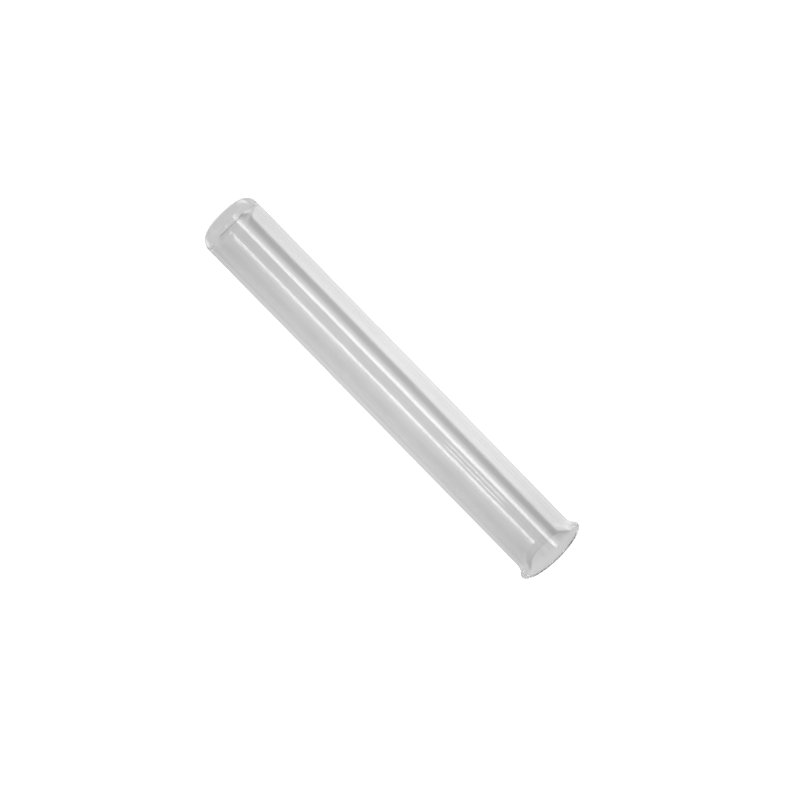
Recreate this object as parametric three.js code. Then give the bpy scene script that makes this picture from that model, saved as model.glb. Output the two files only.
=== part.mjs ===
// Glass tube of a manual rain gauge: drawn clear tube, closed and flat at the foot,
// with a flared, fire-polished lip at its open mouth.
// Millimetres, +Z up along the tube from the foot to the mouth; the origin is the
// centre of the flat foot, on the face the tube stands on.

import * as THREE from 'three';

// Driving dimensions
const TUBE_LENGTH = 175.4; // foot face to the top of the lip
const TUBE_OD = 25.4; // outside of the straight tube
const WALL = 2.0; // drawn wall of the straight tube
const FOOT_CORNER_OUT = 5.2; // how far the foot's rounded corner reaches in from the wall
const FOOT_CORNER_UP = 4.7; // how far it reaches up the wall
const FLOOR_THICK = 1.8; // glass on the axis, from the foot face to the well's floor
const WELL_CORNER_OUT = 5.4; // the same two reaches for the well's own corner
const WELL_CORNER_UP = 5.3;
const LIP_OD = 29.6; // outside of the flared lip
const LIP_THICK = 1.2; // rounded edge of the lip
const FLARE_LENGTH = 6.0; // height of the flare outside, up to the lip's rounded edge
const FLARE_POWER = 3.6; // how late the flare turns out
const BELL_LENGTH = 6.5; // the same two for the flare's inside
const BELL_POWER = 3.2;

// Facets
const AROUND = 64;
const CORNER_STEPS = 6;
const FLARE_STEPS = 8;
const LIP_QUARTER_STEPS = 3;

const outerR = TUBE_OD / 2;
const boreR = outerR - WALL;
const lipCentreR = LIP_OD / 2 - LIP_THICK / 2;
const lipCentreZ = TUBE_LENGTH - LIP_THICK / 2;

const profile = [];

// A quarter (or less) of an ellipse, from one angle to another about its centre.
function corner(centreR, centreZ, reachR, reachZ, fromDeg, toDeg, steps) {
  for (let i = 0; i <= steps; i += 1) {
    const angle = THREE.MathUtils.degToRad(fromDeg + ((toDeg - fromDeg) * i) / steps);
    profile.push(
      new THREE.Vector2(centreR + reachR * Math.cos(angle), centreZ + reachZ * Math.sin(angle)),
    );
  }
}

// One side of the flare: starts along the wall and turns out to the lip's edge.
function flare(wallR, top, length, power, share) {
  const rise = Math.pow(share, power);
  return new THREE.Vector2(wallR + (top.x - wallR) * rise, top.y - length * (1 - share));
}

// Where each side of the flare meets the rounded edge: tangent to the flare's end.
const edgeRadius = LIP_THICK / 2;
const outerSlope = Math.atan((FLARE_POWER * (lipCentreR - outerR)) / FLARE_LENGTH);
const innerSlope = Math.atan((BELL_POWER * (lipCentreR - boreR)) / BELL_LENGTH);
const outerFlareTop = new THREE.Vector2(
  lipCentreR + edgeRadius * Math.cos(outerSlope),
  lipCentreZ - edgeRadius * Math.sin(outerSlope),
);
const innerFlareTop = new THREE.Vector2(
  lipCentreR - edgeRadius * Math.cos(innerSlope),
  lipCentreZ + edgeRadius * Math.sin(innerSlope),
);

// Outside, from the middle of the foot up to the lip
profile.push(new THREE.Vector2(0, 0));
corner(
  outerR - FOOT_CORNER_OUT,
  FOOT_CORNER_UP,
  FOOT_CORNER_OUT,
  FOOT_CORNER_UP,
  -90,
  0,
  CORNER_STEPS,
);
for (let i = 0; i < FLARE_STEPS; i += 1) {
  profile.push(flare(outerR, outerFlareTop, FLARE_LENGTH, FLARE_POWER, i / FLARE_STEPS));
}

// Rounded edge of the lip, out to its widest, over its top and back in
const outerDeg = THREE.MathUtils.radToDeg(outerSlope);
const innerDeg = THREE.MathUtils.radToDeg(innerSlope);
const steps = LIP_QUARTER_STEPS;
corner(lipCentreR, lipCentreZ, edgeRadius, edgeRadius, -outerDeg, 0, steps);
profile.pop();
corner(lipCentreR, lipCentreZ, edgeRadius, edgeRadius, 0, 90, steps);
profile.pop();
corner(lipCentreR, lipCentreZ, edgeRadius, edgeRadius, 90, 180 - innerDeg, steps);

// Inside, from the lip down to the middle of the well's floor
for (let i = FLARE_STEPS - 1; i >= 0; i -= 1) {
  profile.push(flare(boreR, innerFlareTop, BELL_LENGTH, BELL_POWER, i / FLARE_STEPS));
}
corner(
  boreR - WELL_CORNER_OUT,
  FLOOR_THICK + WELL_CORNER_UP,
  WELL_CORNER_OUT,
  WELL_CORNER_UP,
  0,
  -90,
  CORNER_STEPS,
);
profile.push(new THREE.Vector2(0, FLOOR_THICK));

const glassGeometry = new THREE.LatheGeometry(profile, AROUND);
glassGeometry.rotateX(Math.PI / 2);

const clearGlass = new THREE.MeshStandardMaterial({
  color: 0xe9edec,
  roughness: 0.05,
  metalness: 0.0,
  transparent: true,
  opacity: 0.35,
});

const glassTube = new THREE.Mesh(glassGeometry, clearGlass);
glassTube.name = 'glass_tube';

const rainGauge = new THREE.Group();
rainGauge.add(glassTube);

export default rainGauge;
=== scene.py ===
"""Glass tube of a manual rain gauge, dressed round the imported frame.

Metres, +Z up the tube from its closed foot to its open mouth, foot face at z = 0.
"""
import math

import bmesh
import bpy
from mathutils import Matrix, Vector, noise


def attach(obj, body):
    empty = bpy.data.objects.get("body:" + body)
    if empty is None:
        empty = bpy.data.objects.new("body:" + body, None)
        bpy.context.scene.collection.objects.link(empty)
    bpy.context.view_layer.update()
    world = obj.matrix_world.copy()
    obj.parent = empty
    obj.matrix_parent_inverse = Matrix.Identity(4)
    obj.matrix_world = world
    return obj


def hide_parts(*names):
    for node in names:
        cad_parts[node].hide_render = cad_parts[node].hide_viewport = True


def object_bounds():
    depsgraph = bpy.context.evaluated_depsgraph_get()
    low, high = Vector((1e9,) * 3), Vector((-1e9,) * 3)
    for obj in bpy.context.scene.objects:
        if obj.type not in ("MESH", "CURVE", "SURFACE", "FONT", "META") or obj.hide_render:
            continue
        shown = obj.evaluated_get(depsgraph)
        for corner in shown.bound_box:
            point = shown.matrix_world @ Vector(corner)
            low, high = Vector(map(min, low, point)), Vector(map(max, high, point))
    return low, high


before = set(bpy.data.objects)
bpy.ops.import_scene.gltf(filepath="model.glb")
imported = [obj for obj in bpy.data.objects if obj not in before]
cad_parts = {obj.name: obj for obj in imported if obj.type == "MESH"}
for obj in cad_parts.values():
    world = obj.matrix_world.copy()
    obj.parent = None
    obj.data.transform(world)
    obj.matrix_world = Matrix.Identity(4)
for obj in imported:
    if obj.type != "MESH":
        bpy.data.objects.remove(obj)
cad_low, cad_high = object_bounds()

MM = 0.001
LENGTH = cad_high.z
LIP_R = cad_high.x

# The section of the tube, as the CAD has it
OUTER_R = 12.7 * MM
WALL = 2.0 * MM
FOOT_OUT, FOOT_UP = 5.2 * MM, 4.7 * MM
FLOOR_THICK = 1.8 * MM
WELL_OUT, WELL_UP = 5.4 * MM, 5.3 * MM
LIP_THICK = 1.2 * MM
FLARE_LENGTH, FLARE_POWER = 6.0 * MM, 3.6
BELL_LENGTH, BELL_POWER = 6.5 * MM, 3.2

# Steps of the mesh: round the axis, then along each stretch of the section
AROUND = 380
FLAT_STEPS = 6
CORNER_STEPS = 24
WALL_STEPS = 48
FLARE_STEPS = 24
LIP_STEPS = 36

# How far the glass is from true
FOOT_LEAN = 0.05
LEAN_POWER = 1.3
FOOT_NARROWS, MOUTH_WIDENS = 0.03 * MM, 0.11 * MM
WALL_WAVE = 0.010 * MM
WALL_RIPPLES = ((0, 14 * MM, 0.6), (5, 5 * MM, 0.4))  # seed, size and share of each ripple
LIP_WAVE = 0.03 * MM
LIP_RIPPLES = ((40, 2.2 * MM), (60, 6 * MM))
OUTSIDE_SEED, INSIDE_SEED = 0, 20

# The glass's surface; grain is how fine a noise is along each axis, per metre
GLASS_IOR = 1.5
FILM_GRAIN, FILM_DETAIL = (130, 130, 60), 5.0
FILM_FROM, FILM_TO, FILM_DARKEST = 0.42, 0.72, 0.965
MARKS_GRAIN, MARKS_DETAIL, MARKS_OFFSET = (90, 90, 35), 3.0, (3, 7, 1)
MARKS_FROM, MARKS_TO, MARKS_ROUGH = 0.55, 0.75, 0.02
LIP_WORN_FROM, LIP_WORN_TO, LIP_ROUGH = LENGTH - 1.6 * MM, LENGTH - 1.0 * MM, 0.12
LINES_GRAIN, LINES_DETAIL = (1500, 1500, 12), 2.0
CORDS_GRAIN, CORDS_DETAIL, CORDS_OFFSET, CORDS_SHARE = (260, 260, 18), 1.0, (5, 2, 9), 4.0
LINE_DEPTH = 0.0015 * MM

# Soft boxes and panels round the tube, over even grey walls. Degrees: the middle, half the width and
# the soft edge beyond it; then the brightness that it adds. In front, the middle is counted from the
# camera's side (-Y) towards +X; behind, from straight behind (+Y) towards -X.
WALLS = 0.4
LIGHTS_IN_FRONT = {
    "strip": (-24.5, 4.5, 2.5, 4.5),
    "glow beside the strip": (-35, 2, 9, 1.3),
    "dim middle": (8, 20, 8, -0.1),
    "weak light, right": (12, 5, 3, 0.3),
    "weak light, far right": (46, 6, 9, 0.2),
}
PANELS_BEHIND = {
    "backdrop": (5, 56, 6, 0.18),
    "pale half": (35, 26, 2.5, 0.18),
    "pale half, brighter start": (18, 8, 3, 0.12),
    "bright edge": (58, 1, 7, 0.2),
    "dark stripe": (6.5, 0.5, 3.5, -0.13),
    "pool of light, middle": (-1, 1, 5, 0.05),
    "pool of light, right": (-32, 4, 10, 0.08),
}

# Where the light changes to an even tone with height: the sine of the elevation where it starts and
# ends, above and below, and the two tones
FRONT_LIMITS, FRONT_TONES = ((0.50, 0.62), (0.30, 0.42)), (0.04, 0.60)
BEHIND_LIMITS, BEHIND_TONES = ((0.30, 0.32), (0.27, 0.45)), (0.74, 0.60)
CEILING_LIMITS, CEILING_TONE = (0.54, 0.62), 0.03

# The backdrop leans a little (degrees per unit of height), and the studio is brightest near mid height
LEAN, LEAN_FROM = 1.5, -0.1
MID_HEIGHT, MID_GAIN, FALL_OFF, LEAST_GAIN = 0.045, 1.04, 2.6, 0.93

# Two thin upright tubes of light in front: the angle midway between them and half the angle from one
# to the other, in degrees; half the width and the soft edge's end; the height and how far they reach
BARS_MIDDLE, BARS_APART = -1.35, 7.05
BAR_WIDTH = (math.radians(0.5), math.radians(1.6))
BARS_HEIGHT, BARS_REACH = 0.169, (0.034, 0.046)
BAR_POWER = 3.3

PLAIN_WHITE = 1.2
FLOOR_REACH = 12.0
FLOOR_DROP = 0.2 * MM
FLOOR_TONE, FLOOR_ROUGH, FLOOR_GLOW = 0.9, 0.8, 0.6
LIGHT_BOUNCES = 1024

# The camera
VIEW_DISTANCE = 369.8 * MM
VIEW_TILT = math.radians(3.7)
VIEW_ROLL = math.radians(45.62)
AIM = Vector((0.8 * MM, 0.0, 94.0 * MM))
SENSOR = 36.0
FRAME_WIDTH = 300.3 * MM


# ---------------------------------------------------------------- the glass
def ellipse(centre, reach, start, end, steps):
    """Points of an elliptical corner in the (radius, height) plane, from one angle to another."""
    points = []
    for i in range(steps + 1):
        angle = math.radians(start + (end - start) * i / steps)
        points.append((centre[0] + reach[0] * math.cos(angle), centre[1] + reach[1] * math.sin(angle)))
    return points


def flare(wall_r, top, length, power):
    """One side of the flare, from low to high, its top left out."""
    points = []
    for i in range(FLARE_STEPS):
        share = i / FLARE_STEPS
        points.append((wall_r + (top[0] - wall_r) * share ** power, top[1] - length * (1 - share)))
    return points


def straight(low, high):
    """Points up a straight wall from one (radius, height) to another, both ends left out."""
    points = []
    for i in range(1, WALL_STEPS):
        share = i / WALL_STEPS
        points.append((low[0] + (high[0] - low[0]) * share, low[1] + (high[1] - low[1]) * share))
    return points


def wander(seed, angle, height, size):
    """Smooth noise over the wall, -1 to 1, with features of the given size."""
    x, y = math.cos(angle) * OUTER_R / size, math.sin(angle) * OUTER_R / size
    return noise.noise(Vector((x, y, height / size + seed)))


def wall_wave(seed, angle, height):
    """The wall's long and short ripples together, -1 to 1."""
    wave = 0.0
    for more, size, share in WALL_RIPPLES:
        wave += share * wander(seed + more, angle, height, size)
    return wave


def lip_dip(angle):
    """How far the lip's edge sinks at one angle."""
    dip = 0.0
    for seed, size in LIP_RIPPLES:
        dip += LIP_WAVE * (0.5 + 0.5 * wander(seed, angle, 0, size))
    return dip


def section(angle):
    """The section at one angle round Z, from the middle of the foot round to the middle of the well."""
    lean = 1 + FOOT_LEAN * math.cos(angle)
    foot_out, foot_up = FOOT_OUT * lean, FOOT_UP * lean ** LEAN_POWER
    well_out, well_up = WELL_OUT * lean, WELL_UP * lean ** LEAN_POWER
    edge = LIP_THICK / 2
    dip = lip_dip(angle)
    lip = (LIP_R - edge - 0.5 * dip, LENGTH - edge - dip)
    foot_r, mouth_r = OUTER_R - FOOT_NARROWS, OUTER_R + MOUTH_WIDENS
    well_r, bore_r = foot_r - WALL, mouth_r - WALL

    # where each side of the flare meets the lip's rounded edge: tangent to the flare's end
    outer_turn = math.atan(FLARE_POWER * (lip[0] - mouth_r) / FLARE_LENGTH)
    inner_turn = math.atan(BELL_POWER * (lip[0] - bore_r) / BELL_LENGTH)
    outer_top = (lip[0] + edge * math.cos(outer_turn), lip[1] - edge * math.sin(outer_turn))
    inner_top = (lip[0] - edge * math.cos(inner_turn), lip[1] + edge * math.sin(inner_turn))

    foot_flat, well_flat = foot_r - foot_out, well_r - well_out
    outside = [(foot_flat * i / FLAT_STEPS, 0.0) for i in range(1, FLAT_STEPS)]
    outside += ellipse((foot_flat, foot_up), (foot_out, foot_up), -90, 0, CORNER_STEPS)
    outside += straight((foot_r, foot_up), (mouth_r, outer_top[1] - FLARE_LENGTH))
    outside += flare(mouth_r, outer_top, FLARE_LENGTH, FLARE_POWER)
    edge_start, edge_end = -math.degrees(outer_turn), 180 - math.degrees(inner_turn)
    outside += ellipse(lip, (edge, edge), edge_start, edge_end, LIP_STEPS)

    well_top = FLOOR_THICK + well_up
    inside = flare(bore_r, inner_top, BELL_LENGTH, BELL_POWER)[::-1]
    inside += straight((well_r, well_top), (bore_r, inner_top[1] - BELL_LENGTH))[::-1]
    inside += ellipse((well_flat, well_top), (well_out, well_up), 0, -90, CORNER_STEPS)
    inside += [(well_flat * i / FLAT_STEPS, FLOOR_THICK) for i in range(FLAT_STEPS - 1, 0, -1)]

    points = []
    for seed, side in ((OUTSIDE_SEED, outside), (INSIDE_SEED, inside)):
        for radius, height in side:
            if radius < LIP_R - LIP_THICK:
                radius += WALL_WAVE * wall_wave(seed, angle, height) * min(1.0, radius / OUTER_R)
            points.append((radius, height))
    return points


def spin(around):
    """The closed mesh of the tube: its section at every angle round Z, joined up."""
    mesh = bmesh.new()
    foot = mesh.verts.new((0, 0, 0))
    well = mesh.verts.new((0, 0, FLOOR_THICK))
    columns = []
    for k in range(around):
        angle = 2 * math.pi * k / around
        column = []
        for radius, height in section(angle):
            column.append(mesh.verts.new((radius * math.cos(angle), radius * math.sin(angle), height)))
        columns.append(column)
    for column, after in zip(columns, columns[1:] + columns[:1]):
        mesh.faces.new((foot, after[0], column[0]))
        for i in range(len(column) - 1):
            mesh.faces.new((column[i], after[i], after[i + 1], column[i + 1]))
        mesh.faces.new((column[-1], after[-1], well))
    bmesh.ops.recalc_face_normals(mesh, faces=mesh.faces[:])
    return mesh


def make_piece(name, mesh, material):
    data = bpy.data.meshes.new(name)
    mesh.to_mesh(data)
    mesh.free()
    for polygon in data.polygons:
        polygon.use_smooth = True
    data.materials.append(material)
    piece = bpy.data.objects.new(name, data)
    bpy.context.scene.collection.objects.link(piece)
    return piece


# ---------------------------------------------------------------- nodes
def add_math(nodes, links, kind, a, b=None, c=None, clamp=False):
    """A maths node; each input is a number or another node's output."""
    node = nodes.new("ShaderNodeMath")
    node.operation = kind
    node.use_clamp = clamp
    for socket, value in zip(node.inputs, (a, b, c)):
        if value is None:
            continue
        if isinstance(value, (int, float)):
            socket.default_value = value
        else:
            links.new(value, socket)
    return node.outputs[0]


def distance_from(nodes, links, value, middle):
    """How far the value is from the middle, on either side."""
    off = add_math(nodes, links, "SUBTRACT", value, middle)
    return add_math(nodes, links, "ABSOLUTE", off)


def spread(nodes, links, value, low, high, to_low, to_high):
    """The value taken from one range to another, smoothly."""
    node = nodes.new("ShaderNodeMapRange")
    node.interpolation_type = "SMOOTHSTEP"
    links.new(value, node.inputs["Value"])
    for socket, number in zip(("From Min", "From Max", "To Min", "To Max"), (low, high, to_low, to_high)):
        node.inputs[socket].default_value = number
    return node.outputs[0]


def add_noise(nodes, links, place, grain, detail, offset=(0, 0, 0)):
    """Noise with its own grain along each axis."""
    mapping = nodes.new("ShaderNodeMapping")
    mapping.inputs["Scale"].default_value = grain
    mapping.inputs["Location"].default_value = offset
    links.new(place, mapping.inputs["Vector"])
    texture = nodes.new("ShaderNodeTexNoise")
    texture.inputs["Scale"].default_value = 1.0
    texture.inputs["Detail"].default_value = detail
    links.new(mapping.outputs[0], texture.inputs["Vector"])
    return texture.outputs["Fac"]


# ---------------------------------------------------------------- materials
def glass_material():
    material = bpy.data.materials.new("clear_drawn_glass")
    material.use_nodes = True
    nodes, links = material.node_tree.nodes, material.node_tree.links
    shader = nodes["Principled BSDF"]
    shader.inputs["IOR"].default_value = GLASS_IOR
    shader.inputs["Transmission Weight"].default_value = 1.0
    place = nodes.new("ShaderNodeTexCoord").outputs["Object"]

    # a thin, uneven film of dust and water marks
    film = add_noise(nodes, links, place, FILM_GRAIN, FILM_DETAIL)
    tone = spread(nodes, links, film, FILM_FROM, FILM_TO, 1.0, FILM_DARKEST)
    grey = nodes.new("ShaderNodeCombineColor")
    for socket in grey.inputs[:3]:
        links.new(tone, socket)
    links.new(grey.outputs[0], shader.inputs["Base Color"])
    marks = add_noise(nodes, links, place, MARKS_GRAIN, MARKS_DETAIL, MARKS_OFFSET)
    rough = spread(nodes, links, marks, MARKS_FROM, MARKS_TO, 0.0, MARKS_ROUGH)

    # the lip's edge is dulled a little
    split = nodes.new("ShaderNodeSeparateXYZ")
    links.new(place, split.inputs[0])
    worn = spread(nodes, links, split.outputs[2], LIP_WORN_FROM, LIP_WORN_TO, 0.0, LIP_ROUGH)
    links.new(add_math(nodes, links, "ADD", rough, worn), shader.inputs["Roughness"])

    # draw lines and cords run along the tube
    lines = add_noise(nodes, links, place, LINES_GRAIN, LINES_DETAIL)
    cords = add_noise(nodes, links, place, CORDS_GRAIN, CORDS_DETAIL, CORDS_OFFSET)
    height = add_math(nodes, links, "MULTIPLY_ADD", cords, CORDS_SHARE, lines)
    bump = nodes.new("ShaderNodeBump")
    bump.inputs["Strength"].default_value = 1.0
    bump.inputs["Distance"].default_value = LINE_DEPTH
    links.new(height, bump.inputs["Height"])
    links.new(bump.outputs[0], shader.inputs["Normal"])
    return material


def floor_material():
    material = bpy.data.materials.new("pale_floor")
    material.use_nodes = True
    shader = material.node_tree.nodes["Principled BSDF"]
    shader.inputs["Base Color"].default_value = (FLOOR_TONE, FLOOR_TONE, FLOOR_TONE, 1)
    shader.inputs["Roughness"].default_value = FLOOR_ROUGH
    shader.inputs["Specular IOR Level"].default_value = 0.0
    shader.inputs["Emission Color"].default_value = (1, 1, 1, 1)
    shader.inputs["Emission Strength"].default_value = FLOOR_GLOW
    return material


# ---------------------------------------------------------------- studio, floor, camera
def lit_by(nodes, links, angle, lights):
    """The walls with every light or panel of one half of the studio; the angle is in radians."""
    total = WALLS
    for middle, half, soft, power in lights.values():
        off = distance_from(nodes, links, angle, math.radians(middle))
        shine = spread(nodes, links, off, math.radians(half), math.radians(half + soft), power, 0.0)
        total = add_math(nodes, links, "ADD", total, shine)
    return total


def thin_bars(nodes, links, turn, z):
    """The two thin tubes of light, on either side of their middle and only near one height."""
    off_middle = distance_from(nodes, links, turn, math.radians(BARS_MIDDLE))
    off_bar = distance_from(nodes, links, off_middle, math.radians(BARS_APART))
    off_height = distance_from(nodes, links, z, BARS_HEIGHT)
    across = spread(nodes, links, off_bar, *BAR_WIDTH, BAR_POWER, 0.0)
    return add_math(nodes, links, "MULTIPLY", across, spread(nodes, links, off_height, *BARS_REACH, 1.0, 0.0))


def mix_of(nodes, links, share, first, second):
    """The first light where the share is 0, the second, a light or a number, where it is 1."""
    mix = nodes.new("ShaderNodeMix")
    links.new(share, mix.inputs["Factor"])
    links.new(first, mix.inputs["A"])
    if isinstance(second, (int, float)):
        mix.inputs["B"].default_value = second
    else:
        links.new(second, mix.inputs["B"])
    return mix.outputs[0]


def change_over(nodes, links, reach, limits, tone, light):
    """The light, turned into the tone as reach goes from one limit to the other."""
    return mix_of(nodes, links, spread(nodes, links, reach, *limits, 0.0, 1.0), light, tone)


def mid_gain(nodes, links, z):
    """How much brighter the studio is near mid height."""
    off = add_math(nodes, links, "SUBTRACT", z, MID_HEIGHT)
    squared = add_math(nodes, links, "MULTIPLY", off, off)
    gain = add_math(nodes, links, "MULTIPLY_ADD", squared, -FALL_OFF, MID_GAIN)
    return add_math(nodes, links, "MAXIMUM", gain, LEAST_GAIN)


def studio_light(nodes, links):
    """The studio's brightness in every direction, as the glass sees it."""
    place = nodes.new("ShaderNodeTexCoord")
    split = nodes.new("ShaderNodeSeparateXYZ")
    links.new(place.outputs["Generated"], split.inputs[0])
    x, y, z = split.outputs
    minus_x = add_math(nodes, links, "MULTIPLY", x, -1.0)
    minus_y = add_math(nodes, links, "MULTIPLY", y, -1.0)
    down = add_math(nodes, links, "MULTIPLY", z, -1.0)
    turn = add_math(nodes, links, "ARCTAN2", x, minus_y)
    lean = add_math(nodes, links, "MULTIPLY_ADD", z, math.radians(LEAN), -math.radians(LEAN * LEAN_FROM))
    behind = add_math(nodes, links, "ADD", add_math(nodes, links, "ARCTAN2", minus_x, y), lean)
    gain = mid_gain(nodes, links, z)

    halves = []
    for angle, lights, (above, below), (high_tone, low_tone) in (
        (turn, LIGHTS_IN_FRONT, FRONT_LIMITS, FRONT_TONES),
        (behind, PANELS_BEHIND, BEHIND_LIMITS, BEHIND_TONES),
    ):
        light = add_math(nodes, links, "MULTIPLY", lit_by(nodes, links, angle, lights), gain)
        light = change_over(nodes, links, z, above, high_tone, light)
        halves.append(change_over(nodes, links, down, below, low_tone, light))
    front, rear = halves
    front = add_math(nodes, links, "ADD", front, thin_bars(nodes, links, turn, z))
    is_rear = add_math(nodes, links, "GREATER_THAN", y, 0.0)
    both = mix_of(nodes, links, is_rear, front, rear)
    return change_over(nodes, links, z, CEILING_LIMITS, CEILING_TONE, both)


def studio_world():
    """The world: plain white to the camera and the floor, the studio to the glass."""
    world = bpy.data.worlds.new("studio")
    bpy.context.scene.world = world
    world.use_nodes = True
    nodes, links = world.node_tree.nodes, world.node_tree.links
    nodes.clear()
    studio = studio_light(nodes, links)
    seen = nodes.new("ShaderNodeLightPath")
    camera_ray, diffuse_depth = seen.outputs["Is Camera Ray"], seen.outputs["Diffuse Depth"]
    plain = add_math(nodes, links, "ADD", camera_ray, diffuse_depth, clamp=True)
    shine = nodes.new("ShaderNodeBackground")
    links.new(mix_of(nodes, links, plain, studio, PLAIN_WHITE), shine.inputs["Color"])
    out = nodes.new("ShaderNodeOutputWorld")
    links.new(shine.outputs[0], out.inputs["Surface"])


def make_floor():
    mesh = bmesh.new()
    corners = []
    for x, y in ((-1, -1), (1, -1), (1, 1), (-1, 1)):
        corners.append(mesh.verts.new((x * FLOOR_REACH, y * FLOOR_REACH, -FLOOR_DROP)))
    mesh.faces.new(corners)
    floor = make_piece("floor", mesh, floor_material())
    floor.visible_glossy = False
    floor.visible_transmission = False


def make_camera():
    data = bpy.data.cameras.new("camera")
    data.sensor_width = SENSOR
    data.lens = SENSOR * VIEW_DISTANCE / FRAME_WIDTH
    camera = bpy.data.objects.new("camera", data)
    forward = Vector((0, math.cos(VIEW_TILT), math.sin(VIEW_TILT)))
    along = Vector((0, -math.sin(VIEW_TILT), math.cos(VIEW_TILT)))
    across = Vector((1, 0, 0))
    right = along * math.cos(VIEW_ROLL) - across * math.sin(VIEW_ROLL)
    up = -along * math.sin(VIEW_ROLL) - across * math.cos(VIEW_ROLL)
    turn = Matrix((right, up, -forward)).transposed().to_4x4()
    camera.matrix_world = Matrix.Translation(AIM - forward * VIEW_DISTANCE) @ turn
    bpy.context.scene.collection.objects.link(camera)
    bpy.context.scene.camera = camera


make_camera()
studio_world()
make_floor()

glass = make_piece("rain_gauge_glass", spin(AROUND), glass_material())
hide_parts("glass_tube")
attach(glass, "root")

bpy.context.scene.view_settings.view_transform = "Standard"
# light runs a long way inside the wall of a glass tube before it finds its way out
paths = bpy.context.scene.cycles
paths.max_bounces = LIGHT_BOUNCES
paths.glossy_bounces = LIGHT_BOUNCES
paths.transmission_bounces = LIGHT_BOUNCES
